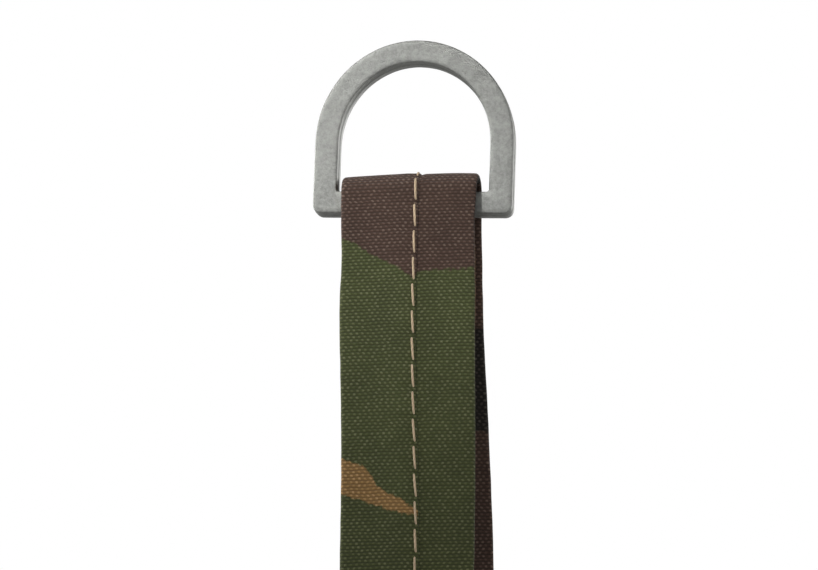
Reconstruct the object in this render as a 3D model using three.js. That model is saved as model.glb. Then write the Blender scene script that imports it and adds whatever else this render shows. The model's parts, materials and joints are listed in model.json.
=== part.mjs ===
// A canvas training bumper: a foam-filled canvas roll on a canvas strap loop with a cast D-ring.
// Millimetres, +Z up. The origin is the D-ring's inner top, where a hook carries the whole bumper.
// X runs along the ring's straight bar and -Y is the bumper's front.
import * as THREE from 'three';

// Cast D-ring
const RING_THICKNESS = 4.5;
const RING_INNER_WIDTH = 28.6;
const RING_INNER_HEIGHT = 24.8;
const RING_ARC_DROP = 15.5;
const RING_LEG_WIDTH = 4.4;
const RING_ARC_WIDTH = 4.2;
const RING_BAR_HEIGHT = 4.2;
const RING_OUTER_CORNER = 1.6;
const RING_INNER_CORNER = 0.5;
const RING_BEVEL = 0.45;

// Folded canvas strap, carried round the bar and sewn to the bumper's top end
const STRAP_WIDTH = 25.4;
const STRAP_THICKNESS = 1.8;
const STRAP_OFFSET_X = -0.6;
const FOLD_INNER_RADIUS = 2.95;
const FOLD_RISE = 0.7;
const LEG_SPREAD = 0.121;
const LOOP_LENGTH = 150;
const ROOT_TOP = 45;
const FOOT_TOP = 11;
const FOOT_BEND = 2.6;
const FOOT_REACH = 18;
const SEAM_SHIFT = 1;
const BOX_WIDTH = 19.8;
const BOX_DEPTH = 28.8;
const BOX_EDGE = 1.03;
const BOX_WINDOW_INSET = 0.06;

// Canvas roll
const BODY_LENGTH = 305;
const BODY_RADIUS = 38;
const CANVAS = 1.0;
const LINER = 0.6;
const PIPING_RADIUS = 1.5;
const PIPING_INSET = 0.4;
const PIPING_SIDES = 8;
const PATCH_WIDTH = 36;
const PATCH_DEPTH = 56;
const PATCH_THICKNESS = 0.9;
const PATCH_CORNER = 5;
const PATCH_ROW_INSET = 2.5;
const SEAM_FLAP_WIDTH = 12;
const SEAM_FLAP_THICKNESS = 0.8;
const SEAM_ANGLE = THREE.MathUtils.degToRad(60);
const SEAM_ROW_SPACING = 7;
const END_ROW_INSET = 8;
const END_ROW_STOP = 1;

// Thread, and the gap between pieces that lie against each other
const THREAD = 0.5;
const GAP = 0.3;
const ROUND_STEPS = 24;
const FOLD_STEPS = 20;
const BEND_STEPS = 6;
const SMALL_STEPS = 5;

// Places worked out from the sizes above
const BAR_Z = -RING_INNER_HEIGHT - RING_BAR_HEIGHT / 2;
const FOLD_Z = BAR_Z + FOLD_RISE;
const FOLD_RADIUS = FOLD_INNER_RADIUS + STRAP_THICKNESS / 2;
const LEG_ANGLE = Math.atan(LEG_SPREAD);
const TOP_FACE_Z = BAR_Z - LOOP_LENGTH;
const BOTTOM_FACE_Z = TOP_FACE_Z - BODY_LENGTH;
const PATCH_Z = TOP_FACE_Z + GAP;
const FRONT_FOOT_Z = PATCH_Z + PATCH_THICKNESS + GAP + STRAP_THICKNESS / 2;
const BACK_FOOT_Z = FRONT_FOOT_Z + STRAP_THICKNESS + GAP;
const PIPING_RING = BODY_RADIUS - PIPING_INSET;
const COVER_INSET = 2 * PIPING_RADIUS + GAP;

const CAMO_BROWN = 0x4b3c34;
const CAMO_GREEN = 0x42472f;
const CAMO_TAN = 0x6e5739;
const THREAD_TAN = 0xb9a587;
const ZINC = 0x9c9d98;
const LINER_GREY = 0x9a9c98;
const FOAM_CREAM = 0xd9d2bd;

const bumper = new THREE.Group();

function addPiece(name, geometry, color, roughness = 0.95, metalness = 0) {
  const material = new THREE.MeshStandardMaterial({ color, roughness, metalness });
  const mesh = new THREE.Mesh(geometry, material);
  mesh.name = name;
  bumper.add(mesh);
  return mesh;
}

// Extrudes an outline drawn in (X, Y) upward from z.
function extrudeUp(shape, z, height, steps = ROUND_STEPS) {
  const options = { depth: height, bevelEnabled: false, curveSegments: steps };
  return new THREE.ExtrudeGeometry(shape, options).translate(0, 0, z);
}

// Extrudes an outline drawn in (Y, Z) along X, centred on x.
function extrudeAcross(shape, x, width) {
  const toFrame = new THREE.Matrix4().makeBasis(
    new THREE.Vector3(0, 1, 0), new THREE.Vector3(0, 0, 1), new THREE.Vector3(1, 0, 0));
  const geometry = new THREE.ExtrudeGeometry(shape, { depth: width, bevelEnabled: false });
  return geometry.applyMatrix4(toFrame).translate(x - width / 2, 0, 0);
}

// The outline of a strip of even thickness along an open line of (Y, Z) points.
function stripShape(line, thickness) {
  const oneSide = [];
  const otherSide = [];
  line.forEach((point, i) => {
    const before = line[Math.max(i - 1, 0)];
    const after = line[Math.min(i + 1, line.length - 1)];
    const along = after.clone().sub(before).normalize();
    const aside = new THREE.Vector2(-along.y, along.x).multiplyScalar(thickness / 2);
    oneSide.push(point.clone().add(aside));
    otherSide.unshift(point.clone().sub(aside));
  });
  return new THREE.Shape([...oneSide, ...otherSide]);
}

function arcPoints(centre, radius, from, to, steps) {
  return Array.from({ length: steps + 1 }, (_, i) => {
    const angle = from + (to - from) * i / steps;
    return new THREE.Vector2(centre.x + radius * Math.cos(angle), centre.y + radius * Math.sin(angle));
  });
}

// A point on the middle line of the front (side -1) or back (side 1) strap leg at height z.
function legPoint(side, z, outward = 0) {
  const distance = FOLD_RADIUS + outward + (FOLD_Z - z) * Math.sin(LEG_ANGLE);
  return new THREE.Vector2(side * distance / Math.cos(LEG_ANGLE), z);
}

// The middle line of the strap from the front leg, over the bar, to the back leg.
function loopLine(outward = 0) {
  const fold = arcPoints(
    new THREE.Vector2(0, FOLD_Z), FOLD_RADIUS + outward, Math.PI - LEG_ANGLE, LEG_ANGLE, FOLD_STEPS);
  const legEnd = TOP_FACE_Z + ROOT_TOP;
  return [legPoint(-1, legEnd, outward), ...fold, legPoint(1, legEnd, outward)];
}

function ringShape() {
  const halfInner = RING_INNER_WIDTH / 2;
  const halfOuter = halfInner + RING_LEG_WIDTH;
  const bottom = -RING_INNER_HEIGHT - RING_BAR_HEIGHT;
  const outerCorner = RING_OUTER_CORNER;
  const shape = new THREE.Shape();
  shape.moveTo(-halfOuter + outerCorner, bottom);
  shape.absarc(halfOuter - outerCorner, bottom + outerCorner, outerCorner, -Math.PI / 2, 0);
  shape.absellipse(0, -RING_ARC_DROP, halfOuter, RING_ARC_DROP + RING_ARC_WIDTH, 0, Math.PI);
  shape.absarc(-halfOuter + outerCorner, bottom + outerCorner, outerCorner, Math.PI, Math.PI * 1.5);
  const eye = new THREE.Path();
  const sill = -RING_INNER_HEIGHT;
  const innerCorner = RING_INNER_CORNER;
  eye.moveTo(-halfInner + innerCorner, sill);
  eye.absarc(halfInner - innerCorner, sill + innerCorner, innerCorner, -Math.PI / 2, 0);
  eye.absellipse(0, -RING_ARC_DROP, halfInner, RING_ARC_DROP, 0, Math.PI);
  eye.absarc(-halfInner + innerCorner, sill + innerCorner, innerCorner, Math.PI, Math.PI * 1.5);
  shape.holes.push(eye);
  return shape;
}

// The cast ring stands upright in the X-Z plane with a small bevel on every edge.
function addRing() {
  const depth = RING_THICKNESS - 2 * RING_BEVEL;
  const geometry = new THREE.ExtrudeGeometry(ringShape(), {
    depth,
    bevelEnabled: true,
    bevelThickness: RING_BEVEL,
    bevelSize: RING_BEVEL,
    bevelOffset: -RING_BEVEL,
    bevelSegments: 2,
    curveSegments: FOLD_STEPS,
  });
  const toFrame = new THREE.Matrix4().makeBasis(
    new THREE.Vector3(1, 0, 0), new THREE.Vector3(0, 0, 1), new THREE.Vector3(0, -1, 0));
  geometry.applyMatrix4(toFrame).translate(0, depth / 2, 0);
  addPiece('d_ring', geometry, ZINC, 0.5, 0.9);
}

// The strap passes over the bar and both legs run down, spreading a little.
function addStrapLoop() {
  const loop = stripShape(loopLine(), STRAP_THICKNESS);
  addPiece('strap_loop', extrudeAcross(loop, STRAP_OFFSET_X, STRAP_WIDTH), CAMO_BROWN);
  const seam = stripShape(loopLine(STRAP_THICKNESS / 2 + GAP + THREAD / 2), THREAD);
  addPiece('strap_seam_stitching', extrudeAcross(seam, STRAP_OFFSET_X + SEAM_SHIFT, THREAD), THREAD_TAN);
}

// The lower end of each leg bends when the bumper swings against the loop.
function addStrapRoots() {
  for (const [name, side] of [['strap_front_root', -1], ['strap_back_root', 1]]) {
    const top = legPoint(side, TOP_FACE_Z + ROOT_TOP - GAP);
    const bottom = legPoint(side, TOP_FACE_Z + FOOT_TOP + GAP);
    const root = stripShape([top, bottom], STRAP_THICKNESS);
    addPiece(name, extrudeAcross(root, STRAP_OFFSET_X, STRAP_WIDTH), CAMO_GREEN);
  }
}

// Both strap ends turn in across the end panel, the back one over the front one.
function addStrapFeet() {
  const feet = [['strap_front_foot', -1, FRONT_FOOT_Z], ['strap_back_foot', 1, BACK_FOOT_Z]];
  for (const [name, side, level] of feet) {
    const top = legPoint(side, TOP_FACE_Z + FOOT_TOP);
    const heel = legPoint(side, level + FOOT_BEND);
    const centre = new THREE.Vector2(heel.x - side * FOOT_BEND, level + FOOT_BEND);
    const start = side > 0 ? 0 : Math.PI;
    const bend = arcPoints(centre, FOOT_BEND, start, start - side * Math.PI / 2, BEND_STEPS);
    const toe = new THREE.Vector2(-side * FOOT_REACH, level);
    const foot = stripShape([top, ...bend, toe], STRAP_THICKNESS);
    addPiece(name, extrudeAcross(foot, STRAP_OFFSET_X, STRAP_WIDTH), CAMO_GREEN);
  }
}

// The box and cross of stitches that hold both strap ends: a frame with four triangular windows.
function addBoxStitching() {
  const corners = [[-1, -1], [1, -1], [1, 1], [-1, 1]].map(
    ([x, y]) => new THREE.Vector2(x * BOX_WIDTH / 2, y * BOX_DEPTH / 2));
  const frame = new THREE.Shape(corners.map((corner) => corner.clone().multiplyScalar(BOX_EDGE)));
  corners.forEach((corner, i) => {
    const next = corners[(i + 1) % 4];
    const middle = corner.clone().add(next).divideScalar(3);
    const triangle = [corner, new THREE.Vector2(0, 0), next];
    const window = triangle.map((point) => point.clone().lerp(middle, BOX_WINDOW_INSET));
    frame.holes.push(new THREE.Path(window));
  });
  const z = BACK_FOOT_Z + STRAP_THICKNESS / 2 + GAP;
  const stitching = extrudeUp(frame, z, THREAD).translate(STRAP_OFFSET_X, 0, 0);
  addPiece('foot_box_stitching', stitching, THREAD_TAN);
}

// The patch's rounded outline, or one a little way in from its edge.
function patchOutline(inset, ShapeClass = THREE.Shape) {
  const corner = PATCH_CORNER - inset;
  const x = PATCH_WIDTH / 2 - PATCH_CORNER;
  const y = PATCH_DEPTH / 2 - PATCH_CORNER;
  const outline = new ShapeClass();
  outline.moveTo(-x, -y - corner);
  outline.absarc(x, -y, corner, -Math.PI / 2, 0);
  outline.absarc(x, y, corner, 0, Math.PI / 2);
  outline.absarc(-x, y, corner, Math.PI / 2, Math.PI);
  outline.absarc(-x, -y, corner, Math.PI, Math.PI * 1.5);
  return outline;
}

// A canvas patch spreads the pull over the end panel, with a second one inside the cover.
function addPatches() {
  const patch = patchOutline(0);
  addPiece('anchor_patch', extrudeUp(patch, PATCH_Z, PATCH_THICKNESS, SMALL_STEPS), CAMO_TAN);
  const innerZ = TOP_FACE_Z - CANVAS - GAP - PATCH_THICKNESS;
  addPiece('backing_patch', extrudeUp(patch, innerZ, PATCH_THICKNESS, SMALL_STEPS), CAMO_TAN);
  const row = patchOutline(PATCH_ROW_INSET);
  row.holes.push(patchOutline(PATCH_ROW_INSET + THREAD, THREE.Path));
  const z = PATCH_Z + PATCH_THICKNESS + GAP;
  addPiece('patch_edge_stitching', extrudeUp(row, z, THREAD, SMALL_STEPS), THREAD_TAN);
}

function tubeShape(outer, inner) {
  const shape = new THREE.Shape();
  shape.absarc(0, 0, outer, 0, Math.PI * 2);
  const bore = new THREE.Path();
  bore.absarc(0, 0, inner, 0, Math.PI * 2);
  shape.holes.push(bore);
  return shape;
}

function discShape(radius) {
  const shape = new THREE.Shape();
  shape.absarc(0, 0, radius, 0, Math.PI * 2);
  return shape;
}

// Part of a round wall between two radii, centred on an angle.
function sectorShape(inner, outer, middle, halfAngle) {
  const shape = new THREE.Shape();
  shape.absarc(0, 0, outer, middle - halfAngle, middle + halfAngle);
  shape.absarc(0, 0, inner, middle + halfAngle, middle - halfAngle, true);
  return shape;
}

function addEnds() {
  const panelRadius = PIPING_RING - PIPING_RADIUS - GAP;
  const panel = discShape(panelRadius);
  addPiece('top_end_panel', extrudeUp(panel, TOP_FACE_Z - CANVAS, CANVAS), CAMO_GREEN);
  addPiece('bottom_end_panel', extrudeUp(panel, BOTTOM_FACE_Z, CANVAS), CAMO_GREEN);
  const rings = [
    ['top_piping', TOP_FACE_Z - PIPING_RADIUS],
    ['bottom_piping', BOTTOM_FACE_Z + PIPING_RADIUS],
  ];
  for (const [name, z] of rings) {
    const piping = new THREE.TorusGeometry(PIPING_RING, PIPING_RADIUS, PIPING_SIDES, 2 * ROUND_STEPS);
    addPiece(name, piping.translate(0, 0, z), CAMO_BROWN);
  }
}

function addCover() {
  const top = TOP_FACE_Z - COVER_INSET;
  const bottom = BOTTOM_FACE_Z + COVER_INSET;
  const wall = tubeShape(BODY_RADIUS, BODY_RADIUS - CANVAS);
  addPiece('side_cover', extrudeUp(wall, bottom, top - bottom), CAMO_GREEN);
}

// The cover closes along its length in a lapped seam held by two rows of stitches.
function addCoverSeam() {
  const top = TOP_FACE_Z - COVER_INSET - GAP;
  const bottom = BOTTOM_FACE_Z + COVER_INSET + GAP;
  const inner = BODY_RADIUS + GAP;
  const outer = inner + SEAM_FLAP_THICKNESS;
  const flap = sectorShape(inner, outer, SEAM_ANGLE, SEAM_FLAP_WIDTH / 2 / BODY_RADIUS);
  addPiece('cover_seam_flap', extrudeUp(flap, bottom, top - bottom, SMALL_STEPS), CAMO_BROWN);
  for (const [name, side] of [['seam_stitching_left', 1], ['seam_stitching_right', -1]]) {
    const angle = SEAM_ANGLE + side * SEAM_ROW_SPACING / 2 / BODY_RADIUS;
    const row = sectorShape(outer + GAP, outer + GAP + THREAD, angle, THREAD / 2 / BODY_RADIUS);
    addPiece(name, extrudeUp(row, bottom, top - bottom, 1), THREAD_TAN);
  }
}

// One row of stitches runs round the cover near each end and stops at the lapped seam.
function addEndRows() {
  const inner = BODY_RADIUS + GAP;
  const reach = Math.PI - (SEAM_FLAP_WIDTH / 2 + END_ROW_STOP) / BODY_RADIUS;
  const row = sectorShape(inner, inner + THREAD, SEAM_ANGLE + Math.PI, reach);
  const rows = [
    ['top_row_stitching', TOP_FACE_Z - END_ROW_INSET],
    ['bottom_row_stitching', BOTTOM_FACE_Z + END_ROW_INSET],
  ];
  for (const [name, z] of rows) {
    addPiece(name, extrudeUp(row, z - THREAD / 2, THREAD), THREAD_TAN);
  }
}

// Inside, a foam roll in a thin liner fills the cover.
function addCore() {
  const top = TOP_FACE_Z - CANVAS - PATCH_THICKNESS - 2 * GAP;
  const bottom = BOTTOM_FACE_Z + CANVAS + GAP;
  const linerOuter = BODY_RADIUS - CANVAS - GAP;
  const linerInner = linerOuter - LINER;
  const linerTop = TOP_FACE_Z - COVER_INSET;
  const linerBottom = BOTTOM_FACE_Z + COVER_INSET;
  const liner = tubeShape(linerOuter, linerInner);
  addPiece('core_liner', extrudeUp(liner, linerBottom, linerTop - linerBottom), LINER_GREY, 0.6);
  const coreRadius = Math.min(linerInner, PIPING_RING - PIPING_RADIUS) - GAP;
  addPiece('foam_core', extrudeUp(discShape(coreRadius), bottom, top - GAP - bottom), FOAM_CREAM);
}

addRing();
addStrapLoop();
addStrapRoots();
addStrapFeet();
addBoxStitching();
addPatches();
addEnds();
addCover();
addCoverSeam();
addEndRows();
addCore();

export default bumper;
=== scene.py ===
"""Looks of a canvas training bumper: cast D-ring, folded canvas strap, sewn foam-filled roll."""
import json
import math

import bmesh
import bpy
import numpy as np
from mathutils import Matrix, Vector, noise


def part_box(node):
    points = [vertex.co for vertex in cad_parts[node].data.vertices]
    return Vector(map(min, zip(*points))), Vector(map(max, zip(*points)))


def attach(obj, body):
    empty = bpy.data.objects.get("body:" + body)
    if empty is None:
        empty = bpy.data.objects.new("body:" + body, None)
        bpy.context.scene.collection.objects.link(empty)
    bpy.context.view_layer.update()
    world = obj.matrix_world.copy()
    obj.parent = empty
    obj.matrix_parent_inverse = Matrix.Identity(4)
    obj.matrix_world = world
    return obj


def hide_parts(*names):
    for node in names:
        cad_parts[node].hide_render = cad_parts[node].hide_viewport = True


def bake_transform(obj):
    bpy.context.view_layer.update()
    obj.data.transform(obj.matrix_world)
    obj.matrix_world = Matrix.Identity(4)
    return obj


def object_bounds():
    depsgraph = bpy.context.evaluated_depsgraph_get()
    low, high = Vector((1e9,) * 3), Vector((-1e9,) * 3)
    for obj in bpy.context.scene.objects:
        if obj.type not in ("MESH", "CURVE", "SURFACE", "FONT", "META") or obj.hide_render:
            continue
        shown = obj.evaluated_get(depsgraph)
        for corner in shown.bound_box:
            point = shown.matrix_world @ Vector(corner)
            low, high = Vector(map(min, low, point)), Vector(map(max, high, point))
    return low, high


MM = 0.001

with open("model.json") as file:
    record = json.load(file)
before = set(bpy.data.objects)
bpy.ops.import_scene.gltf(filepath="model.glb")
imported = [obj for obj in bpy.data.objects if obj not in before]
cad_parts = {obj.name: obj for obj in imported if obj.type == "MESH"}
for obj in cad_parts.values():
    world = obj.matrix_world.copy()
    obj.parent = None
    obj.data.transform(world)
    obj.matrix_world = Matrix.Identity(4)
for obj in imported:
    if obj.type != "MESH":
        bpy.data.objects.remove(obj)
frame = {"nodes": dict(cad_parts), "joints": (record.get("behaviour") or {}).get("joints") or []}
cad_low, cad_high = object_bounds()
JOINTS = {joint["name"]: joint for joint in frame["joints"]}
NODES = frame["nodes"]

# ---------------------------------------------------------------- sizes, in millimetres or as frame vectors
BAR = Vector(JOINTS["ring_pivot"]["pos_m"])
RING_LOW, RING_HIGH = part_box("d_ring")
LOOP_LOW, LOOP_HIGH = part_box("strap_loop")
PATCH_LOW, PATCH_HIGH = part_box("anchor_patch")
PIPING_LOW, PIPING_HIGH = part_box("top_piping")
FLAP_LOW, FLAP_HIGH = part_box("cover_seam_flap")
FOOT_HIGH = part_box("strap_front_foot")[1]

CANVAS = 0.36
STRAP_THICKNESS = 1.8
BACK_LAYER = -0.62
FRONT_LAYER = 0.40
FOLD_INNER_RADIUS = 2.95
FOLD_RADIUS = FOLD_INNER_RADIUS + STRAP_THICKNESS / 2
FOLD_RISE = 0.38
FOLD_Z = LOOP_HIGH.z / MM - FOLD_INNER_RADIUS - STRAP_THICKNESS + FOLD_RISE
LEG_SPREAD = 0.121
FOOT_BEND = 2.6
FOOT_REACH = FOOT_HIGH.y / MM
FOOT_S = 200
STRAP_X = (LOOP_LOW.x + LOOP_HIGH.x) / 2 / MM
HALF_WIDTH = (LOOP_HIGH.x - LOOP_LOW.x) / 2 / MM
EDGE_INSET = 0.35

STITCH_PITCH = 5.18
STITCH_LENGTH = 4.75
THREAD_RADIUS = 0.22

RING_TILT = math.radians(2.0)
RING_SHIFT = -0.22
RING_LEG_WIDTH = 4.4
RING_ARC_WIDTH = 4.2
RING_ARC_Z = -15.5
RING_ARC_STEPS = 120
RING_BAR_HEIGHT = 4.2
RING_OUTER_CORNER = 1.6
RING_INNER_CORNER = 0.5
RING_BEVEL = 0.34
FOLD_BEVEL = 0.60

BODY_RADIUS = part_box("side_cover")[1].x / MM
TOP_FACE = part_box("top_end_panel")[1].z / MM
BOTTOM_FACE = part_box("bottom_end_panel")[0].z / MM
COVER_THICKNESS = 0.8
PIPING_RADIUS = (PIPING_HIGH.z - PIPING_LOW.z) / 2 / MM
PIPING_RING = PIPING_HIGH.x / MM - PIPING_RADIUS
SEAM_ANGLE = math.radians(60)
SEAM_FLAP_WIDTH = 12.0
SEAM_ROW_SPACING = 7.0
FLAP_FACE = 0.78
FLAP_EDGE = 0.4
FLAP_GAP = 0.12
END_ROW_INSET = 8.0
PATCH_ROW_INSET = 2.6
PATCH_GAP = 0.15


# ---------------------------------------------------------------- meshes
def new_object(name, points, faces, smooth=True):
    """A mesh object from points in millimetres."""
    mesh = bpy.data.meshes.new(name)
    mesh.from_pydata([tuple(p) for p in np.asarray(points, float) * MM], [], faces)
    shell = bmesh.new()
    shell.from_mesh(mesh)
    bmesh.ops.recalc_face_normals(shell, faces=shell.faces)
    shell.to_mesh(mesh)
    shell.free()
    if smooth:
        mesh.polygons.foreach_set("use_smooth", [True] * len(mesh.polygons))
    piece = bpy.data.objects.new(name, mesh)
    bpy.context.scene.collection.objects.link(piece)
    return piece


def loop_faces(rings, around, closed_path=False):
    """Quads between closed rings of points, with the two open ends capped unless the path closes."""
    faces = []
    last = rings if closed_path else rings - 1
    for i in range(last):
        a, b = i * around, (i + 1) % rings * around
        for j in range(around):
            k = (j + 1) % around
            faces.append((a + j, a + k, b + k, b + j))
    if not closed_path:
        faces.append(tuple(range(around - 1, -1, -1)))
        faces.append(tuple((rings - 1) * around + j for j in range(around)))
    return faces


def set_attribute(piece, name, values):
    """A vector for each vertex, which the material reads by name."""
    attribute = piece.data.attributes.new(name, "FLOAT_VECTOR", "POINT")
    attribute.data.foreach_set("vector", np.asarray(values, np.float32).ravel())


def finish_piece(piece, body, material, replaced):
    """Gives a piece its material, hides the nodes it stands for, and attaches it to its body if it has one."""
    piece.data.materials.append(material)
    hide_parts(*replaced)
    if body:
        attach(piece, body)
    return piece


class CanvasPoints:
    """A canvas piece's points, each with its place on the flat cloth and its depth inside each print."""

    def __init__(self):
        self.points, self.cloth, self.camo = [], [], []

    def add(self, point, u, v, prints):
        """One point, with everything in millimetres."""
        self.points.append(point)
        self.cloth.append((u, v, 0))
        self.camo.append(prints)

    def build(self, name, faces, body, material, replaced):
        """The finished piece, attached to its body if it has one."""
        piece = new_object(name, self.points, faces)
        set_attribute(piece, "cloth", np.array(self.cloth) * MM)
        set_attribute(piece, "camo", np.array(self.camo) * MM)
        return finish_piece(piece, body, material, replaced)


def smooth_step(t):
    t = np.clip(t, 0, 1)
    return t * t * (3 - 2 * t)


def arc(centre, radius, start, end, count):
    angles = np.linspace(start, end, count)
    return np.stack([centre[0] + radius * np.cos(angles), centre[1] + radius * np.sin(angles)], 1)


def unit(vectors):
    return vectors / np.linalg.norm(vectors, axis=1)[:, None]


def path_steps(line):
    """The distance along a line to each of its points."""
    return np.r_[0, np.cumsum(np.linalg.norm(np.diff(line, axis=0), axis=1))]


def resample(line, count):
    """The same line with evenly spaced points."""
    steps = path_steps(line)
    wanted = np.linspace(0, steps[-1], count)
    return np.stack([np.interp(wanted, steps, line[:, i]) for i in range(line.shape[1])], 1)


def wander(x, y, z=0.0):
    """Smooth noise from -1 to 1 at a place, the same on every run."""
    return noise.noise(Vector((x, y, z)))


# ---------------------------------------------------------------- material nodes
class Nodes:
    """Short calls for building the node tree of a material or of the world."""

    def __init__(self, owner, shader="Principled BSDF"):
        owner.use_nodes = True
        self.owner = owner
        self.tree = owner.node_tree
        self.shader = self.tree.nodes[shader]

    def new(self, kind, **settings):
        node = self.tree.nodes.new(kind)
        for key, value in settings.items():
            setattr(node, key, value)
        return node

    def link(self, source, target):
        self.tree.links.new(source, target)

    def feed(self, socket, value):
        if isinstance(value, bpy.types.NodeSocket):
            self.link(value, socket)
        else:
            socket.default_value = value

    def math(self, operation, a, b=0.0, c=0.0, clamp=False):
        node = self.new("ShaderNodeMath", operation=operation, use_clamp=clamp)
        for socket, value in zip(node.inputs, (a, b, c)):
            self.feed(socket, value)
        return node.outputs[0]

    def times(self, a, b):
        return self.math("MULTIPLY", a, b)

    def scale(self, value, factor, offset, clamp=False):
        return self.math("MULTIPLY_ADD", value, factor, offset, clamp)

    def mix(self, factor, a, b, blend="MIX"):
        node = self.new("ShaderNodeMix", data_type="RGBA", blend_type=blend)
        for socket, value in zip((node.inputs[0], node.inputs[6], node.inputs[7]), (factor, a, b)):
            self.feed(socket, value)
        return node.outputs[2]

    def shade(self, color, level):
        """A colour made lighter or darker by a level, where 1 leaves it as it is."""
        return self.mix(1.0, color, self.join(level, level, level), "MULTIPLY")

    def attribute(self, name):
        return self.new("ShaderNodeAttribute", attribute_name=name).outputs["Vector"]

    def split(self, vector):
        node = self.new("ShaderNodeSeparateXYZ")
        self.link(vector, node.inputs[0])
        return node.outputs

    def join(self, x, y, z=0.0):
        node = self.new("ShaderNodeCombineXYZ")
        for socket, value in zip(node.inputs, (x, y, z)):
            self.feed(socket, value)
        return node.outputs[0]

    def noise(self, vector, scale, detail=2.0, roughness=0.5):
        """Soft noise around 0.5."""
        node = self.new("ShaderNodeTexNoise")
        self.feed(node.inputs["Vector"], vector)
        node.inputs["Scale"].default_value = scale
        node.inputs["Detail"].default_value = detail
        node.inputs["Roughness"].default_value = roughness
        return node.outputs["Fac"]

    def bump(self, height, distance, strength=1.0, normal=None):
        """A normal from a height, added to another normal where one is given."""
        node = self.new("ShaderNodeBump")
        node.inputs["Distance"].default_value = distance
        node.inputs["Strength"].default_value = strength
        self.link(height, node.inputs["Height"])
        if normal is not None:
            self.link(normal, node.inputs["Normal"])
        return node.outputs[0]

    def set(self, **values):
        """Sets or links the shader's own sockets, by name with _ for a space."""
        for name, value in values.items():
            self.feed(self.shader.inputs[name.replace("_", " ")], value)


def srgb(*display):
    """A linear colour from eight-bit display values."""
    shares = [value / 255 for value in display]
    return tuple(c / 12.92 if c <= 0.04045 else ((c + 0.055) / 1.055) ** 2.4 for c in shares) + (1.0,)


WEFT_PITCH = 0.642 * MM
WARP_PITCH = 0.522 * MM
THREAD_TWIST = 1.1 * MM
LINER_PITCH = 0.4 * MM
GREEN = srgb(86, 92, 55)
BROWN = srgb(89, 69, 59)
TAN = srgb(165, 129, 80)
BLACK = srgb(46, 42, 38)
WORN_CANVAS = srgb(190, 180, 165)
THREAD = srgb(222, 196, 162)
ZINC = srgb(158, 159, 155)
FOAM = srgb(217, 210, 189)
LINER = srgb(154, 156, 152)


def weave(n, cloth):
    """Plain weave, where every second crossing has the thread that runs across on top.
    Returns the height, how far a point is on a raised crossing, and a random number for each crossing."""
    u, v = n.split(cloth)[0:2]
    bow = n.math("SUBTRACT", n.noise(cloth, 300, 2), 0.5)
    v = n.scale(bow, 0.0004, v)
    row_place = n.join(n.times(u, 160), n.math("DIVIDE", v, WEFT_PITCH))
    slip = n.math("SUBTRACT", n.noise(row_place, 1.0, 1), 0.5)
    u = n.scale(slip, 0.0007, u)
    across = n.math("SINE", n.times(u, math.pi / WARP_PITCH))
    along = n.math("SINE", n.times(v, math.pi / WEFT_PITCH))
    over = n.scale(n.times(across, along), 4.0, 0.5, clamp=True)
    wide = n.math("POWER", n.math("ABSOLUTE", across), 0.5)
    thin = n.math("POWER", n.math("ABSOLUTE", along), 1.4)
    raised = n.times(over, n.times(wide, thin))
    column = n.math("FLOOR", n.math("DIVIDE", u, WARP_PITCH))
    row = n.math("FLOOR", n.math("DIVIDE", v, WEFT_PITCH))
    crossing = n.new("ShaderNodeTexWhiteNoise", noise_dimensions="2D")
    n.link(n.join(column, row), crossing.inputs["Vector"])
    ridge = n.math("POWER", n.math("ABSOLUTE", along), 0.6)
    height = n.scale(ridge, 0.5, n.times(raised, 0.5))
    return height, raised, ridge, crossing.outputs["Value"]


def canvas_material():
    """Printed plain-weave canvas, with a painted highlight on each raised crossing and painted shade in the
    grooves between rows of threads. It reads two attributes: cloth holds the place on the flat cloth in
    metres, and camo holds how far inside the brown, tan and black prints a point is."""
    n = Nodes(bpy.data.materials.new("camo_canvas_cloth"))
    cloth = n.attribute("cloth")
    height, raised, ridge, crossing = weave(n, cloth)
    ragged = n.times(n.math("SUBTRACT", n.noise(cloth, 900, 4, 0.7), 0.5), 0.0024)
    color = GREEN
    for depth, ink in zip(n.split(n.attribute("camo")), (BROWN, TAN, BLACK)):
        inside = n.scale(n.math("ADD", depth, ragged), 2600, 0.5, clamp=True)
        color = n.mix(inside, color, ink)
    # Painted highlight and painted shade: raised crossings are made lighter and the grooves between rows of
    # threads darker in the colour itself; the brightest crossings are also lightened further as wear.
    painted_highlight_and_wear = n.times(raised, n.scale(crossing, 0.7, 0.55))
    level = n.scale(painted_highlight_and_wear, 0.65, n.scale(ridge, 0.34, 0.40))
    place = n.scale(n.noise(cloth, 110, 4, 0.65), 0.7, 0.65)
    level = n.times(level, place)
    color = n.shade(color, level)
    worn = n.times(n.times(painted_highlight_and_wear, crossing), 0.10)
    color = n.mix(worn, color, WORN_CANVAS)
    normal = n.bump(n.noise(cloth, 420, 2), 0.0003, 0.4)
    normal = n.bump(height, 0.00022, 0.8, normal)
    n.set(Base_Color=color, Normal=normal, Roughness=0.93, Specular_IOR_Level=0.25,
          Sheen_Weight=0.08, Sheen_Roughness=0.6)
    return n.owner


def thread_material():
    """Twisted tan thread. Its cloth attribute holds the place along and round each stitch."""
    n = Nodes(bpy.data.materials.new("sewing_thread"))
    u, v = n.split(n.attribute("cloth"))[0:2]
    turns = n.math("ADD", n.times(u, 2 * math.pi / THREAD_TWIST), n.times(v, 3.0))
    twist = n.scale(n.math("SINE", turns), 0.5, 0.5)
    fibre = n.noise(n.attribute("cloth"), 900, 2)
    level = n.scale(twist, 0.3, n.scale(fibre, 0.5, 0.5))
    n.set(Base_Color=n.shade(THREAD, level), Normal=n.bump(twist, 0.00012, 0.8),
          Roughness=0.8, Specular_IOR_Level=0.3, Sheen_Weight=0.2)
    return n.owner


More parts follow.
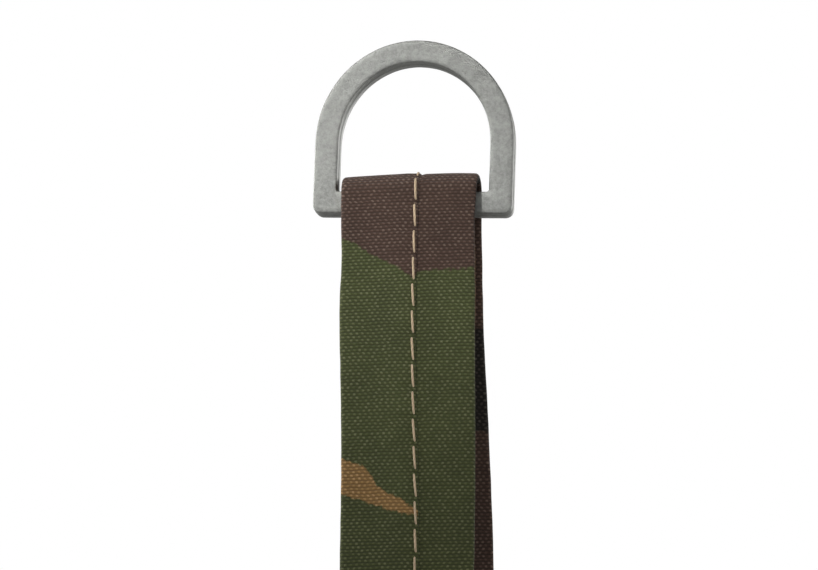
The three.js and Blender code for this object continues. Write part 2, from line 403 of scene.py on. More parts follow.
def zinc_material():
    """Tumbled cast zinc: matte grey with soft clouding, fine grain, small pits and a few pale scuffs."""
    n = Nodes(bpy.data.materials.new("tumbled_zinc"))
    place = n.new("ShaderNodeTexCoord").outputs["Object"]
    cloud = n.noise(place, 240, 4, 0.65)
    grain = n.noise(place, 1500, 4, 0.75)
    pits = n.scale(n.noise(place, 1700, 2, 0.5), -9.0, 2.9, clamp=True)
    scuffs = n.scale(n.noise(place, 700, 5, 0.8), 7.0, -4.2, clamp=True)
    level = n.scale(cloud, 0.55, n.scale(grain, 1.25, 0.13))
    level = n.math("SUBTRACT", level, n.times(pits, 0.15))
    level = n.scale(scuffs, 0.12, level)
    height = n.math("SUBTRACT", n.scale(cloud, 1.2, grain), pits)
    n.set(Base_Color=n.shade(ZINC, level), Normal=n.bump(height, 0.00014, 0.35),
          Roughness=n.scale(grain, 0.25, 0.42), Metallic=0.8)
    return n.owner


def foam_material():
    """Closed-cell foam: pale cream with small cells and soft stains."""
    n = Nodes(bpy.data.materials.new("closed_cell_foam"))
    place = n.new("ShaderNodeTexCoord").outputs["Object"]
    cells = n.new("ShaderNodeTexVoronoi")
    n.link(place, cells.inputs["Vector"])
    cells.inputs["Scale"].default_value = 700
    distance = cells.outputs["Distance"]
    level = n.scale(distance, 0.25, n.scale(n.noise(place, 40, 4, 0.6), 0.3, 0.7))
    n.set(Base_Color=n.shade(FOAM, level), Normal=n.bump(distance, 0.0004, 0.7), Roughness=0.95)
    return n.owner


def liner_material():
    """Thin grey woven liner with a light coating."""
    n = Nodes(bpy.data.materials.new("coated_liner"))
    place = n.new("ShaderNodeTexCoord").outputs["Object"]
    x, y, z = n.split(place)
    turn = n.times(n.math("ARCTAN2", y, x), BODY_RADIUS * MM)
    across, along = (n.math("SINE", n.times(value, math.pi / LINER_PITCH)) for value in (turn, z))
    height = n.times(across, along)
    level = n.scale(height, 0.08, n.scale(n.noise(place, 60, 4), 0.3, 0.75))
    n.set(Base_Color=n.shade(LINER, level), Normal=n.bump(height, 0.0001, 0.6), Roughness=0.55)
    return n.owner


# ---------------------------------------------------------------- cast D-ring
def straight_pairs(steps, outer_start, outer_end, inner_start, inner_end):
    """Pairs along a straight part, without its last one."""
    share = np.arange(steps)[:, None] / steps
    outer = np.array(outer_start) + share * np.subtract(outer_end, outer_start)
    inner = np.array(inner_start) + share * np.subtract(inner_end, inner_start)
    return list(zip(outer, inner))


def corner_pairs(half_outer, half_inner, bottom, sill):
    """Pairs round the lower right corner, from the bar up to the leg, with both ends."""
    steps = 24
    turn = np.linspace(0, math.pi / 2, steps)
    start = half_inner - RING_INNER_CORNER
    centre = (half_outer - RING_OUTER_CORNER, bottom + RING_OUTER_CORNER)
    bend = arc(centre, RING_OUTER_CORNER, -math.pi / 2, 0, 13)
    outer = resample(np.vstack([(start, bottom), bend, (half_outer, sill + RING_INNER_CORNER)]), steps)
    inner = np.column_stack([start + RING_INNER_CORNER * np.sin(turn),
                             sill + RING_INNER_CORNER - RING_INNER_CORNER * np.cos(turn)])
    return list(zip(outer, inner))


def ring_stations():
    """Pairs of an outer and an inner outline point, (x, z) in millimetres, once round the ring."""
    half_outer = RING_HIGH.x / MM
    half_inner = half_outer - RING_LEG_WIDTH
    top, bottom = RING_HIGH.z / MM, RING_LOW.z / MM
    sill = bottom + RING_BAR_HEIGHT
    start, shoulder = half_inner - RING_INNER_CORNER, sill + RING_INNER_CORNER
    corner = corner_pairs(half_outer, half_inner, bottom, sill)
    mirrored = [(outer * (-1, 1), inner * (-1, 1)) for outer, inner in corner[::-1]]
    pairs = straight_pairs(30, (-start, bottom), (start, bottom), (-start, sill), (start, sill))
    pairs += corner[:-1]
    pairs += straight_pairs(10, (half_outer, shoulder), (half_outer, RING_ARC_Z),
                            (half_inner, shoulder), (half_inner, RING_ARC_Z))
    spans = ((half_outer, top - RING_ARC_Z), (half_inner, top - RING_ARC_WIDTH - RING_ARC_Z))
    for angle in np.arange(RING_ARC_STEPS) / RING_ARC_STEPS * math.pi:
        turn = np.array([math.cos(angle), math.sin(angle)])
        pairs.append(tuple((0, RING_ARC_Z) + turn * span for span in spans))
    pairs += straight_pairs(10, (-half_outer, RING_ARC_Z), (-half_outer, shoulder),
                            (-half_inner, RING_ARC_Z), (-half_inner, shoulder))
    return pairs + mirrored[:-1]


def ring_bevel(x, z):
    """How far the metal's edges are rounded: more where the bar runs through the strap's fold."""
    if z < RING_ARC_Z and abs(x) < HALF_WIDTH:
        return RING_BEVEL + FOLD_BEVEL * smooth_step((HALF_WIDTH - abs(x)) / 1.5)
    return RING_BEVEL


def ring_section(width, depth, bevel, parting=0.07):
    """The metal's section with rounded edges and a faint casting line on both walls, as (across, y)."""
    half_w, half_d = width / 2, depth / 2
    flat = np.linspace(half_w - bevel, bevel - half_w, 6)[1:-1]
    ridge = [(half_w, 0.12), (half_w + parting, 0.04), (half_w + parting, -0.04), (half_w, -0.12)]
    edge = arc((half_w - bevel, half_d - bevel), bevel, 0, math.pi / 2, 5)
    quarter = [tuple(point) for point in edge]
    upper = quarter + [(x, half_d) for x in flat] + [(-x, y) for x, y in quarter[::-1]]
    lower = [(-x, -y) for x, y in upper]
    return upper + [(-x, y) for x, y in ridge] + lower + [(x, -y) for x, y in ridge]


def make_ring(material):
    """The ring with faint dents, tilted and moved along its bar as it hangs in the photo."""
    depth = (RING_HIGH.y - RING_LOW.y) / MM
    points = []
    stations = ring_stations()
    for outer, inner in stations:
        middle, across = (outer + inner) / 2, outer - inner
        width = np.linalg.norm(across)
        across = across / width
        for reach, y in ring_section(width, depth, ring_bevel(*middle)):
            x, z = middle + across * reach
            dent = 0.035 * wander(x * 0.35, y * 0.35, z * 0.35) + 0.02 * wander(x * 1.1, y * 1.1, z * 1.1 + 9)
            outward = np.array([across[0] * reach / width, y / depth * 2, across[1] * reach / width])
            points.append(np.array([x, y, z]) + dent * outward)
    pivot = np.array(BAR) / MM
    cosine, sine = math.cos(RING_TILT), math.sin(RING_TILT)
    turn = np.array([[cosine, 0, sine], [0, 1, 0], [-sine, 0, cosine]])
    points = (np.array(points) - pivot) @ turn.T + pivot + (RING_SHIFT, 0, 0)
    around = len(ring_section(RING_ARC_WIDTH, depth, RING_BEVEL))
    ring = new_object("cast_d_ring", points, loop_faces(len(stations), around, closed_path=True))
    finish_piece(ring, "ring", material, ["d_ring"])


# ---------------------------------------------------------------- folded canvas strap
def leg_y(side, z):
    """How far a leg's middle line stands from the strap's middle plane at a height."""
    angle = math.atan(LEG_SPREAD)
    return side * (FOLD_RADIUS + (FOLD_Z - z) * math.sin(angle)) / math.cos(angle)


def foot_line(side):
    """From a foot's toe round its bend and up to the leg, as (y, z)."""
    low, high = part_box("strap_front_foot" if side < 0 else "strap_back_foot")
    level = low.z / MM + STRAP_THICKNESS / 2
    toe = (high.y if side < 0 else low.y) / MM
    heel = leg_y(side, level + FOOT_BEND)
    centre = (heel - side * FOOT_BEND, level + FOOT_BEND)
    turn = arc(centre, FOOT_BEND, -math.pi / 2, -math.pi / 2 + side * math.pi / 2, 12)
    return np.vstack([[(toe, level)], turn])


def strap_line():
    """The strap's middle line from the front toe, up, over the bar and down to the back toe, as (y, z, s).
    s is the distance from the fold's crest, positive down the front leg."""
    angle = math.atan(LEG_SPREAD)
    fold = arc((0, FOLD_Z), FOLD_RADIUS, math.pi - angle, angle, 40)
    line = np.vstack([foot_line(-1), fold, foot_line(1)[::-1]])
    dense = resample(line, 4000)
    length = path_steps(dense)
    crest = length[np.argmax(dense[:, 1])]
    s = crest - length
    wanted = np.r_[np.arange(s[0], 92, -1.3), np.arange(92, -92, -0.62), np.arange(-92, s[-1], -1.3), s[-1]]
    y = np.interp(-wanted, -s, dense[:, 0])
    z = np.interp(-wanted, -s, dense[:, 1])
    return np.stack([y, z, wanted], 1)


def thread_x(s):
    """Where the seam's stitches run across the strap, wandering a little as hand-guided sewing does."""
    return 1.12 + 0.28 * np.cos(2 * math.pi * s / 75)


def pucker(s):
    """1 at a stitch hole and 0 in the middle of a stitch."""
    phase = (s / STITCH_PITCH) % 1.0
    return np.exp(-((phase - 0.5) * STITCH_PITCH / 0.75) ** 2)


def seam_edge(s):
    """Where the front left panel ends, just past the stitches."""
    return thread_x(s) + 0.44 - 0.10 * pucker(s)


def press(s):
    """1 along the legs and the fold, and less at the feet, which their stitches press flat."""
    return 1 - 0.45 * smooth_step((abs(s) - 146) / 12)


def half_width(side, s):
    """How far one edge is from the strap's middle. Hand-guided sewing leaves it up to 1 mm narrower."""
    above_foot = 1 - smooth_step((s - 95) / 40)
    narrow = 0.55 * smooth_step(s / 70) * above_foot
    narrow += 0.30 * math.exp(-((s - 6) / 12) ** 2)
    if side > 0:
        narrow += 0.45 * smooth_step((s - 2) / 10) * above_foot
        narrow += 0.42 * smooth_step(-s / 13) * (1 - smooth_step((-s - 20) / 45))
    else:
        narrow += 0.36 * math.exp(-((s - 18) / 6) ** 2)
    return (HALF_WIDTH - EDGE_INSET - narrow
            + 0.12 * wander(s * 0.05, side * 7.3, 0.5) + 0.06 * wander(s * 0.3, side * 3.1, 4.2))


def side_step(s):
    """How far each leg stands to one side of the strap's middle."""
    if s > 0:
        return 1.1 * smooth_step(s / 75) * (1 - smooth_step((s - 95) / 45))
    return 0.65 * smooth_step((-s - 20) / 55) * (1 - smooth_step((-s - 95) / 45))


def crown(x, s):
    """How far a panel of the strap bulges above its folded edges."""
    bulge = 0.24 * (1 - np.clip(abs(x) / HALF_WIDTH, 0, 1) ** 4)
    return FRONT_LAYER + bulge + 0.08 * wander(x * 0.11, s * 0.09, 2.0)


def left_height(x, s):
    """Middle of the front left panel, which rides up over its own hem and the right panel."""
    lift = (0.32 - 0.22 * math.exp(-(s / 5) ** 2)) * smooth_step((x + 8.0) / 7.0)
    held = 0.20 * pucker(s) * math.exp(-((x - thread_x(s)) / 0.9) ** 2)
    ease = 0.07 * math.exp(-((x - thread_x(s) + 1.8) / 1.3) ** 2) * (1 - 2 * pucker(s))
    return press(s) * (crown(x, s) + lift - held + ease)


def right_height(x, s):
    """Middle of the front right panel, which runs under the left one."""
    under = 0.26 * (1 - smooth_step((x - seam_edge(s) + 0.1) / 1.3))
    held = 0.10 * pucker(s) * math.exp(-((x - thread_x(s) - 1.1) / 1.0) ** 2)
    return press(s) * (crown(x, s) - under - held)


def turned_edge(side, edge, top, bottom):
    """The half circle of canvas where a panel folds round to the back layer."""
    radius = (top - bottom) / 2
    angles = np.linspace(0.25, math.pi, 8) if side > 0 else np.linspace(math.pi, 0.25, 8)
    return [(edge + side * radius * 0.9 * math.sin(a), bottom + radius + radius * math.cos(a))
            for a in angles]


def strap_section(s):
    """The canvas's middle line across the strap, (x, height), from its hidden edge on the right to the hem."""
    back = BACK_LAYER * press(s)
    right_edge, left_edge = half_width(1, s), -half_width(-1, s)
    edge = seam_edge(s)
    xs = np.r_[np.linspace(-3.4, edge - 0.3, 6)[:-1], np.linspace(edge - 0.3, edge + 2.0, 8)[:-1],
               np.linspace(edge + 2.0, right_edge - 0.3, 12)]
    line = [(x, right_height(x, s)) for x in xs]
    line += turned_edge(1, right_edge, right_height(right_edge, s), back)
    xs = np.linspace(right_edge - 1, left_edge + 1, 16)
    line += [(x, back - 0.06 * (1 - (x / HALF_WIDTH) ** 2)) for x in xs]
    line += turned_edge(-1, left_edge, left_height(left_edge, s), back)
    xs = np.r_[np.linspace(left_edge + 0.3, -6, 9)[:-1], np.linspace(-6, edge - 1.6, 9)[:-1],
               np.linspace(edge - 1.6, edge - 0.2, 5)]
    line += [(x, left_height(x, s)) for x in xs]
    top = left_height(edge - 0.2, s)
    hem = np.linspace(0.4, math.pi, 6)
    line += [(edge - 0.2 + 0.2 * math.sin(a), top - 0.2 + 0.2 * math.cos(a)) for a in hem]
    line += [(x, top - 0.40 - 0.10 * (edge - x) / 5) for x in np.linspace(edge - 0.5, edge - 5.4, 5)]
    return np.array(line)


def offset_line(line, distance):
    """The same line moved to its left."""
    along = unit(np.gradient(line, axis=0))
    return line + distance * np.stack([-along[:, 1], along[:, 0]], 1)


def front_print(x, s):
    """Depth, in millimetres, inside the brown, tan and black prints on the strap's front leg."""
    if x < seam_edge(s):
        brown = 14.6 + 0.54 * (x + HALF_WIDTH) - s + 0.8 * wander(x * 0.25, 5.5)
    else:
        brown = 21.5 - 0.06 * (x - 1.5) - s + 0.5 * wander(x * 0.4, 1.5)
    upper = np.interp(x, (-12.7, -8.1, -5.3, -1.5, 1.4), (56.6, 58.4, 62.5, 64.7, 66.7))
    lower = np.interp(x, (-12.7, -7.2, -2.5, 1.4), (63.4, 65.3, 67.1, 67.9))
    tan = min(s - upper, lower - s) if x < seam_edge(s) else -5.0
    return brown, tan, -5.0


def inner_print(s):
    """The prints on the inner face of the back leg: brown, with a band of black."""
    return 5.0, -5.0, min(s + 49.0, -30.0 - s)


def free_print(u, v, seed):
    """The prints anywhere else, from soft noise stretched along the cloth."""
    u, v = u * 0.030, v * 0.019
    brown = 9 * (wander(u, v, seed) + 0.45 * wander(u * 2.1, v * 2.1, seed + 3) - 0.02)
    tan = 8 * (wander(u * 1.2 + 5, v * 1.3, seed + 11) + 0.4 * wander(u * 2.6, v * 2.6, seed + 17) - 0.27)
    black = 7 * (wander(u * 1.5 - 4, v * 1.7, seed + 23) + 0.5 * wander(u * 3.1, v * 3.1, seed + 29) - 0.28)
    return brown, tan, black


def strap_print(x, s, height, w):
    """The prints at a place on the strap, which follow the photo on the two faces that it shows."""
    prints = np.array(free_print(w + 40, s, 2.5))
    outer_face = height > 0
    if s > -2 and outer_face:
        share = smooth_step((96 - s) / 8)
        matched = front_print(x, s)
    elif s <= -2 and not outer_face:
        share = smooth_step((s + 96) / 8)
        matched = inner_print(s)
    else:
        return prints
    return share * np.array(matched) + (1 - share) * prints


def strap_sway(s):
    """Slow waves along the strap, out of its flat plane."""
    return press(s) * 0.10 * wander(s * 0.045, 8.8)


def make_strap(material):
    """The folded strap. Returns it with its rows and the direction that it runs in at each row."""
    rows = strap_line()
    tangent = unit(np.gradient(rows[:, :2], axis=0))
    sheet = CanvasPoints()
    for (y, z, s), (ty, tz) in zip(rows, tangent):
        line = strap_section(s)
        across = path_steps(line)
        ring = np.vstack([offset_line(line, CANVAS / 2), offset_line(line, -CANVAS / 2)[::-1]])
        middle = STRAP_X + side_step(s)
        for (x, height), w in zip(ring, np.r_[across, across[::-1]]):
            lift = height + strap_sway(s)
            sheet.add((middle + x, y - tz * lift, z + ty * lift), w, s, strap_print(x, s, height, w))
    section = strap_section(0)
    strap = sheet.build("canvas_strap", loop_faces(len(rows), len(section) * 2), None, material,
                        ["strap_loop", "strap_front_root", "strap_back_root",
                         "strap_front_foot", "strap_back_foot"])
    return strap, rows, tangent


def make_thread(name, runs, body, material, node):
    """One piece of separate stitches. Each run is (points, up vectors) of one stitch, in millimetres."""
    points, faces, cloth = [], [], []
    sides = 8
    for line, up in runs:
        along = unit(np.gradient(line, axis=0))
        aside = unit(np.cross(along, up))
        up = np.cross(aside, along)
        base = len(points)
        t = np.linspace(0, 1, len(line))
        radius = THREAD_RADIUS * (0.62 + 0.38 * np.sin(np.pi * np.clip(t, 0.02, 0.98)) ** 0.35)
        for i, step in enumerate(path_steps(line)):
            for j in range(sides):
                angle = 2 * math.pi * j / sides
                spoke = math.cos(angle) * aside[i] + 0.85 * math.sin(angle) * up[i]
                points.append(line[i] + radius[i] * spoke)
                cloth.append((step * MM, angle, 0))
        faces += [tuple(base + k for k in face) for face in loop_faces(len(line), sides)]
    piece = new_object(name, points, faces)
    set_attribute(piece, "cloth", cloth)
    return finish_piece(piece, body, material, [node])


def stitch_runs(path, ups, steps=None, pitch=STITCH_PITCH, length=STITCH_LENGTH, lean=0.0):
    """Stitches along a densely sampled path on a surface. Each dips into the cloth at both ends."""
    path, ups = np.array(path, float), np.array(ups, float)
    if steps is None:
        steps = path_steps(path)
    runs = []
    t = np.linspace(0, 1, 11)
    lift = THREAD_RADIUS * 0.6 - 0.6 * (2 * t - 1) ** 12
    for k in range(int((steps[-1] - steps[0]) / pitch + 0.1)):
        at = steps[0] + k * pitch + (pitch - length) / 2 + t * length
        place, up = (np.stack([np.interp(at, steps, line[:, i]) for i in range(3)], 1)
                     for line in (path, ups))
        aside = unit(np.cross(np.gradient(place, axis=0), up))
        slant = lean * (t - 0.5) + 0.08 * wander(k * 1.7, 3.3) * (1 - 2 * t)
        runs.append((place + up * lift[:, None] + aside * slant[:, None], up))
    return runs


def level_runs(line, level, rough_pitch, gap):
    """Whole stitches of about a pitch, with a gap between them, along a line on a level surface."""
    path = np.column_stack([line, np.full(len(line), level)])
    total = np.linalg.norm(np.diff(line, axis=0), axis=1).sum()
    pitch = total / round(total / rough_pitch)
    return stitch_runs(path, np.tile([0.0, 0.0, 1.0], (len(path), 1)), pitch=pitch, length=pitch - gap)


def hole_span(low, high):
    """The first and last stitch hole between two places. Holes are at each half pitch."""
    first = math.ceil(low / STITCH_PITCH - 0.5) + 0.5
    last = math.floor(high / STITCH_PITCH - 0.5) + 0.5
    return np.linspace(first * STITCH_PITCH, last * STITCH_PITCH, int(last - first) * 10 + 1)


def strap_seam_runs(rows, tangent):
    """Stitches along the strap's seam, on its outer face, from foot to foot. A hole is at each half pitch."""
    path, ups, steps = [], [], []
    for s in hole_span(rows[-1, 2] + 1, rows[0, 2] - 1):
        y, z = (np.interp(-s, -rows[:, 2], rows[:, i]) for i in (0, 1))
        ty, tz = (np.interp(-s, -rows[:, 2], tangent[:, i]) for i in (0, 1))
        x = thread_x(s)
        lift = left_height(x, s) + CANVAS / 2 + strap_sway(s)
        path.append((STRAP_X + side_step(s) + x, y - tz * lift, z + ty * lift))
        ups.append((0, -tz, ty))
        steps.append(s)
    return stitch_runs(path, ups, np.array(steps), lean=-0.26)


# ---------------------------------------------------------------- the roll's canvas cover
AROUND = 96
SIDE_ROWS = 90
END_RINGS = 9
SIMULATED_FRAMES = 20
BAG_CLOTH = {
    "quality": 5, "mass": 0.4, "tension_stiffness": 30, "compression_stiffness": 30, "shear_stiffness": 10,
    "bending_stiffness": 2, "use_pressure": True, "uniform_pressure_force": 15.0, "shrink_min": -0.006,
    "vertex_group_mass": "held"}


def cubic(values, at, wrap=False):
    """Values along the first axis, read at fractional places with a smooth curve through them."""
    count = len(values)
    base = np.floor(at).astype(int)
    t = (at - base).reshape((-1,) + (1,) * (values.ndim - 1))
    take = [values[(base + k) % count] if wrap else values[np.clip(base + k, 0, count - 1)]
            for k in (-1, 0, 1, 2)]
    a = -0.5 * take[0] + 1.5 * take[1] - 1.5 * take[2] + 0.5 * take[3]
    b = take[0] - 2.5 * take[1] + 2 * take[2] - 0.5 * take[3]
    c = 0.5 * (take[2] - take[0])
    return ((a * t + b) * t + c) * t + take[1]


def cover_profile():
    """Radius and height of each ring of the simulated cover, from the top panel to the bottom one."""
    ends = [(BODY_RADIUS * k / END_RINGS, TOP_FACE) for k in range(1, END_RINGS + 1)]
    side = [(BODY_RADIUS, z) for z in np.linspace(TOP_FACE, BOTTOM_FACE, SIDE_ROWS)[1:-1]]
    return ends + side + [(r, BOTTOM_FACE) for r, _ in ends[::-1]]


def slack_bag(profile):
    """The closed cover, slightly uneven, with its two piping rings in a group of held points.
    Returns it with the even points, in millimetres."""
    angles = np.arange(AROUND) / AROUND * 2 * math.pi
    rest = np.array([(r * math.cos(a), r * math.sin(a), z) for r, z in profile for a in angles])
    last = len(rest)
    rest = np.vstack([rest, [(0, 0, TOP_FACE), (0, 0, BOTTOM_FACE)]])
    faces = loop_faces(len(profile), AROUND)[:-2]
    for j in range(AROUND):
        k = (j + 1) % AROUND
        faces.append((last, k, j))
        faces.append((last + 1, last - AROUND + j, last - AROUND + k))
    bag = new_object("cover_simulation", rest, faces)
    held = bag.vertex_groups.new(name="held")
    rims = [END_RINGS - 1, len(profile) - END_RINGS]
    held.add([rim * AROUND + j for rim in rims for j in range(AROUND)], 1.0, "REPLACE")
    uneven = [0.12 * wander(*(point * 0.05)) for point in rest]
    for vertex, push in zip(bag.data.vertices, uneven):
        vertex.co += vertex.normal * push * MM
    return bag, rest


def simulate_cover():
    """Blows up a slack closed cover that both piping rings hold. Returns how far the side moved outward in
    millimetres, by row and angle, and how far each end panel rose, by ring and angle."""
    profile = cover_profile()
    bag, rest = slack_bag(profile)
    settings = bag.modifiers.new("cloth", "CLOTH").settings
    settings.effector_weights.gravity = 0
    for name, value in BAG_CLOTH.items():
        setattr(settings, name, value)
    for number in range(1, SIMULATED_FRAMES + 1):
        bpy.context.scene.frame_set(number)
    evaluated = bag.evaluated_get(bpy.context.evaluated_depsgraph_get())
    moved = (np.array([vertex.co for vertex in evaluated.data.vertices]) / MM - rest)[:-2]
    bpy.data.objects.remove(bag)
    bpy.context.scene.frame_set(1)
    outward = rest[:-2] / np.maximum(np.linalg.norm(rest[:-2, :2], axis=1), 1)[:, None]
    radial = (moved[:, 0] * outward[:, 0] + moved[:, 1] * outward[:, 1]).reshape(len(profile), AROUND)
    rise = moved[:, 2].reshape(len(profile), AROUND)
    return radial[END_RINGS - 1:-END_RINGS + 1], rise[:END_RINGS], -rise[-END_RINGS:][::-1]


def gathers(angle, depth, seed):
    """Small folds where the cloth is drawn into a piping seam, fading with the distance from it."""
    folds = wander(math.cos(angle) * 9 + seed, math.sin(angle) * 9, depth * 0.03)
    folds += 0.5 * wander(math.cos(angle) * 21, math.sin(angle) * 21 + seed)
    return 0.55 * folds * math.exp(-depth / 7.0)


def row_groove(distance, along):
    """How much a row of stitches draws the cloth in, with a pucker at each hole."""
    phase = (along / STITCH_PITCH) % 1.0
    hole = math.exp(-((phase - 0.5) * STITCH_PITCH / 0.8) ** 2)
    groove = (0.28 + 0.16 * hole) * math.exp(-(distance / 1.0) ** 2)
    ease = 0.12 * (1 - hole) * math.exp(-((abs(distance) - 2.0) / 1.4) ** 2)
    return ease - groove


class Cover:
    """The side cover's outer surface as a grid of radii, by row and angle."""

    def __init__(self, side):
        """Reads the simulated side finely, and adds what sewing and handling leave on it."""
        near = np.arange(3.0, 15.0, 0.6)
        middle = np.arange(15.0, TOP_FACE - BOTTOM_FACE - 15.0, 1.35)
        depths = np.r_[near, middle, (TOP_FACE - BOTTOM_FACE) - near[::-1]]
        self.z = TOP_FACE - depths
        self.count = 300
        self.angles = np.arange(self.count) / self.count * 2 * math.pi
        rows = (TOP_FACE - self.z) / (TOP_FACE - BOTTOM_FACE) * (len(side) - 1)
        fine = cubic(1.2 * np.tanh(side / 1.2), rows)
        fine = cubic(fine.T, self.angles / (2 * math.pi) * AROUND, wrap=True).T
        self.radius = BODY_RADIUS - 0.15 + fine
        for i, z in enumerate(self.z):
            for j, angle in enumerate(self.angles):
                self.radius[i, j] += self.detail(angle, z)

    def detail(self, angle, z):
        """Gathers and a dip at the piping, slow dents, and the groove of the row of stitches."""
        depth = min(TOP_FACE - z, z - BOTTOM_FACE)
        end = 1 if TOP_FACE - z < 50 else 2
        change = gathers(angle, depth, end * 4.0)
        change -= 1.0 * math.exp(-((depth - 3.0) / 1.3) ** 2)
        change += 0.22 * wander(math.cos(angle) * 1.6, math.sin(angle) * 1.6, z * 0.022)
        if depth < 14:
            change += row_groove(depth - END_ROW_INSET, angle * BODY_RADIUS)
        return change

    def radius_at(self, angle, z):
        """The radius anywhere, read between the grid's points."""
        column = (angle / (2 * math.pi)) % 1.0 * self.count
        t = column - int(column)
        i = np.interp(-z, -self.z, np.arange(len(self.z)))
        low = int(min(i, len(self.z) - 2))
        u = i - low
        left, right = (self.radius[low, j % self.count] * (1 - u) + self.radius[low + 1, j % self.count] * u
                       for j in (int(column), int(column) + 1))
        return left * (1 - t) + right * t


def on_roll(angle, radius, z):
    return (radius * math.cos(angle), radius * math.sin(angle), z)


def make_side_cover(cover, material):
    """The tube of canvas, turned in at both ends, with an inner and an outer face."""
    sheet = CanvasPoints()
    rows = range(len(cover.z))
    for j, angle in enumerate(cover.angles):
        u = ((angle - SEAM_ANGLE) % (2 * math.pi)) * BODY_RADIUS
        prints = [free_print(u, z, 7.5) for z in cover.z]
        for layer, order in enumerate((rows, rows[::-1])):
            for i in order:
                place = on_roll(angle, cover.radius[i, j] - COVER_THICKNESS * layer, cover.z[i])
                sheet.add(place, u, cover.z[i], prints[i])
    faces = loop_faces(len(cover.angles), 2 * len(rows), closed_path=True)
    piece = sheet.build("canvas_side_cover", faces, "roll", material, ["side_cover"])


def panel_faces(rings, around, side):
    """Faces of two stacked discs, each of rings round a middle point, joined at their rims."""
    size = rings * around
    faces = []
    for layer, flip in ((0, side < 0), (1, side > 0)):
        base = layer * size
        disc = [tuple(base + k for k in face) for face in loop_faces(rings, around)[:-2]]
        disc += [(2 * size + layer, base + (j + 1) % around, base + j) for j in range(around)]
        faces += [face[::-1] for face in disc] if flip else disc
    edge = size - around
    for j in range(around):
        k = (j + 1) % around
        quad = (edge + j, size + edge + j, size + edge + k, edge + k)
        faces.append(quad if side > 0 else quad[::-1])
    return faces


def make_end_panel(name, dome, top, material, node):
    """A round canvas panel, domed by the filling and drawn down to the piping round its edge."""
    rings, around = 44, 192
    dome = np.vstack([np.full((1, AROUND), dome[0].mean()), dome])
    dome = dome / max(dome.max(), 1e-6)
    radii = np.linspace(0, 1, rings + 1)[1:]
    fine = cubic(dome, radii * END_RINGS)
    fine = cubic(fine.T, np.arange(around) / around * AROUND, wrap=True).T
    side, face, seed = (1, TOP_FACE, 13.0) if top else (-1, BOTTOM_FACE, 17.0)
    reach = PIPING_RING - 0.6 * PIPING_RADIUS
    sheet = CanvasPoints()
    for i, share in enumerate(radii):
        for j in range(around):
            angle = 2 * math.pi * j / around
            r = reach * share
            x, y = r * math.cos(angle), r * math.sin(angle)
            sunk = 0.25 + 1.35 * (1 - fine[i, j])
            folds = 0.6 * gathers(angle, reach - r, seed)
            z = face - side * (sunk - min(folds, sunk * 0.8))
            sheet.add((x, y, z), x, y, free_print(x + 20, y * side, 31.5 + side))
    upper = sheet.points + [tuple(np.mean(sheet.points[:around], axis=0))]
    lower = [(x, y, z - side * COVER_THICKNESS) for x, y, z in upper]
    sheet.points = upper[:-1] + lower[:-1] + [upper[-1], lower[-1]]
    sheet.cloth = sheet.cloth * 2 + [(0, 0, 0)] * 2
    sheet.camo = sheet.camo * 2 + [sheet.camo[0]] * 2
    piece = sheet.build(name, panel_faces(rings, around, side), "roll", material, [node])


def make_piping(name, top, material, node):
    """A cord covered with bias-cut canvas, which runs round the end seam and wavers slightly."""
    around, sides = 300, 20
    face = TOP_FACE - PIPING_RADIUS if top else BOTTOM_FACE + PIPING_RADIUS
    sheet = CanvasPoints()
    for j in range(around):
        angle = 2 * math.pi * j / around
        place = (math.cos(angle) * 6, math.sin(angle) * 6, 3.0 if top else 8.0)
        ring = PIPING_RING + 0.12 * wander(*place)
        level = face + 0.10 * wander(place[0] + 9, place[1], place[2])
        thick = PIPING_RADIUS * (0.97 + 0.06 * wander(place[0] * 4, place[1] * 4, place[2]))
        for k in range(sides):
            turn = 2 * math.pi * k / sides
            u, v = angle * PIPING_RING, turn * PIPING_RADIUS
            sheet.add(on_roll(angle, ring + thick * math.cos(turn), level + thick * math.sin(turn)),
                      (u + v) * 0.707, (u - v) * 0.707, free_print(u * 0.7, u * 0.7 + v, 51.5))
    sheet.build(name, loop_faces(around, sides, closed_path=True), "roll", material, [node])


def flap_profile():
    """The lapped seam's section, (across, height), a flat strip with turned edges."""
    reach, axis = SEAM_FLAP_WIDTH / 2 - FLAP_EDGE, FLAP_FACE - FLAP_EDGE
    points = [(x, FLAP_FACE) for x in np.linspace(-reach, reach, 25)]
    points += arc((reach, axis), FLAP_EDGE, math.pi / 2 - 0.4, math.pi / 2 - 2.7, 5).tolist()
    points += [(x, 0.0) for x in np.linspace(reach, -reach, 13)]
    points += arc((-reach, axis), FLAP_EDGE, math.pi / 2 + 2.7, math.pi / 2 + 0.4, 5).tolist()
    return points


def flap_height(across, height, z):
    """Height of a point of the lapped seam above the cover, drawn in along both rows of stitches."""
    if height < 0.5:
        return height + FLAP_GAP
    groove = sum(row_groove(across - side * SEAM_ROW_SPACING / 2, z) for side in (-1, 1))
    return height + FLAP_GAP + 0.8 * groove + 0.08 * wander(across * 0.3, z * 0.12)


def flap_angle(across, z):
    """The angle of a place on the lapped seam, which wanders a little from side to side."""
    return SEAM_ANGLE + (across + 0.25 * wander(z * 0.03, 6.6)) / BODY_RADIUS


